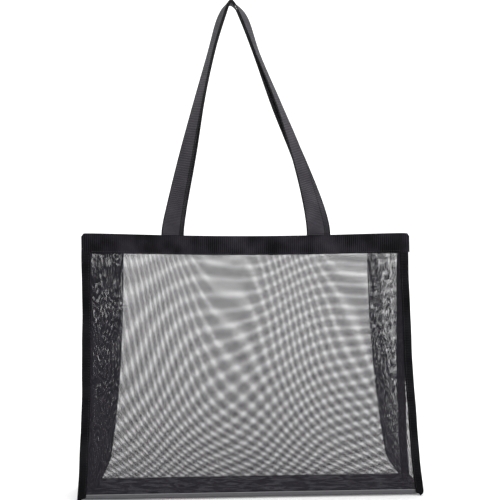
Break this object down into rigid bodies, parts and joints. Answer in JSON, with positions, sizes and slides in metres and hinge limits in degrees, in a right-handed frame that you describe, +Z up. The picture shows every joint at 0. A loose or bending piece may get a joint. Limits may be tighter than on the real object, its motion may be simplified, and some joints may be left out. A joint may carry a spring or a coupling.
{
  "type": "beach bag",
  "caption": "Sheer mesh tote for the beach, with folded side gussets, a dense base, a taped rim and webbing shoulder handles.",
  "frame": {"origin": "middle of the base at floor level, with the bag standing and its handles up", "axes": "+Z up, +X along the bag's width towards its right seen from the front, front panel towards -Y"},
  "size_m": [0.444, 0.0916, 0.6462],
  "materials": {
    "mesh": "sheer knitted mesh, see-through, semi-matte",
    "tape": "ribbed grosgrain, soft sheen",
    "base_cloth": "dense plain weave, matte",
    "webbing": "flat woven webbing, matte"
  },
  "bodies": {
    "base": {"base_panel": "base_cloth", "front_base_hem": "mesh", "back_base_hem": "mesh", "left_base_binding": "tape", "right_base_binding": "tape", "left_gusset": "mesh", "right_gusset": "mesh", "left_gusset_rim_band": "tape", "right_gusset_rim_band": "tape"},
    "front": {"front_mesh_panel": "mesh", "front_rim_band": "tape", "front_left_binding": "tape", "front_right_binding": "tape", "front_handle_left_end": "webbing", "front_handle_right_end": "webbing"},
    "front_handle": {"front_handle": "webbing"},
    "back": {"back_mesh_panel": "mesh", "back_rim_band": "tape", "back_left_binding": "tape", "back_right_binding": "tape", "back_handle_left_end": "webbing", "back_handle_right_end": "webbing"},
    "back_handle": {"back_handle": "webbing"}
  },
  "joints": [
    {"name": "mouth_open", "type": "hinge", "parent": "base", "child": "front", "pos_m": [0, -0.044, 0.006], "axis": [1, 0, 0], "range_deg": [0, 8], "deforming": ["left_gusset", "right_gusset", "left_gusset_rim_band", "right_gusset_rim_band"]},
    {"name": "back_panel_open", "type": "hinge", "parent": "base", "child": "back", "pos_m": [0, 0.044, 0.006], "axis": [1, 0, 0], "range_deg": [-8, 0]},
    {"name": "front_handle_fold", "type": "hinge", "parent": "front", "child": "front_handle", "pos_m": [0, -0.0094, 0.341], "axis": [1, 0, 0], "range_deg": [0, 165]},
    {"name": "back_handle_fold", "type": "hinge", "parent": "back", "child": "back_handle", "pos_m": [0, 0.0094, 0.341], "axis": [1, 0, 0], "range_deg": [-165, 0]}
  ],
  "couplings": [
    {"joint": "back_panel_open", "follows": "mouth_open", "ratio": -1}
  ]
}
